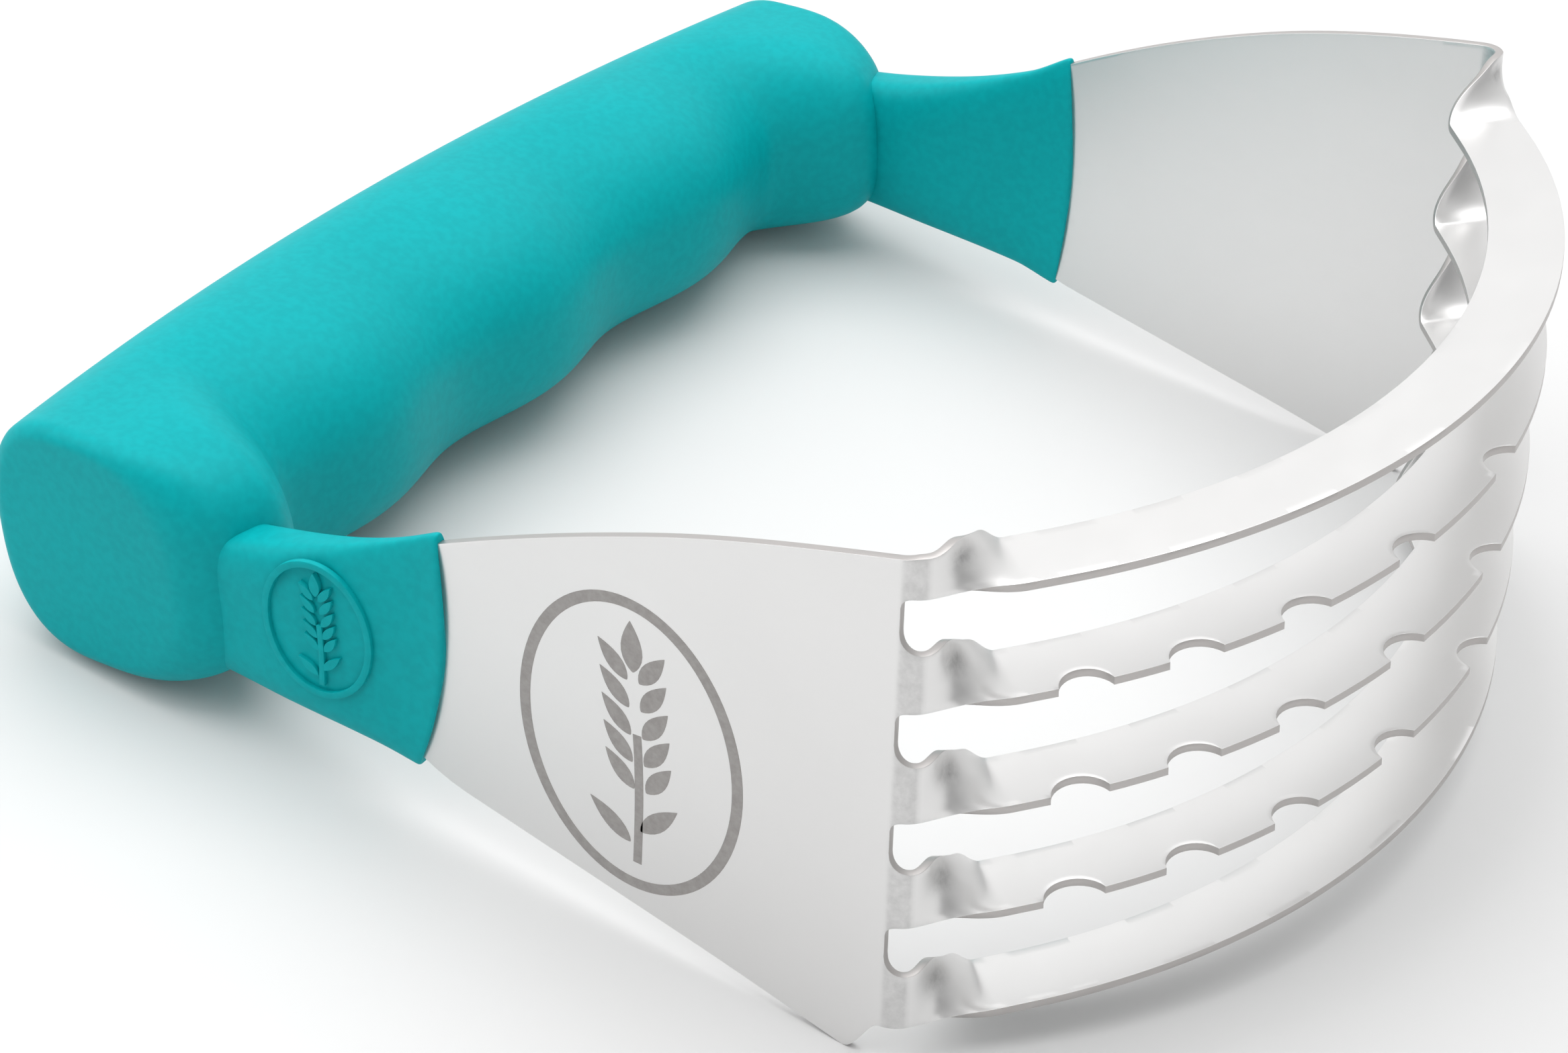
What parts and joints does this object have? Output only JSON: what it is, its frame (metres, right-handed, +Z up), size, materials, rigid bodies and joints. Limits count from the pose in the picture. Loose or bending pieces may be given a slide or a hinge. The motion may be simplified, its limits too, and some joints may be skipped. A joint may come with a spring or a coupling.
{
  "type": "pastry blender",
  "caption": "Hand tool for cutting fat into flour: curved steel blades twisted out of two flared side plates, held by a soft bar handle with finger grooves.",
  "frame": {"origin": "on the table, under the middle of the bounding box of the tool lying on its side", "axes": "+X from the handle to the blades, +Y along the handle, +Z up from the table across the stack of blades, which is tipped about nine degrees because the tool rests on the handle and on the side plates' lower corners"},
  "size_m": [0.131, 0.1234, 0.0549],
  "materials": {
    "steel": "satin stainless sheet",
    "soft_grip": "matte teal thermoplastic rubber",
    "core": "moulded core, hidden inside the grip"
  },
  "bodies": {
    "root": {"blade_1": "steel", "blade_2": "steel", "blade_3": "steel", "blade_4": "steel", "blade_5": "steel", "side_plate_left": "steel", "side_plate_right": "steel", "sleeve_left": "soft_grip", "sleeve_right": "soft_grip", "handle_core": "core", "grip_skin": "soft_grip"}
  },
  "joints": []
}
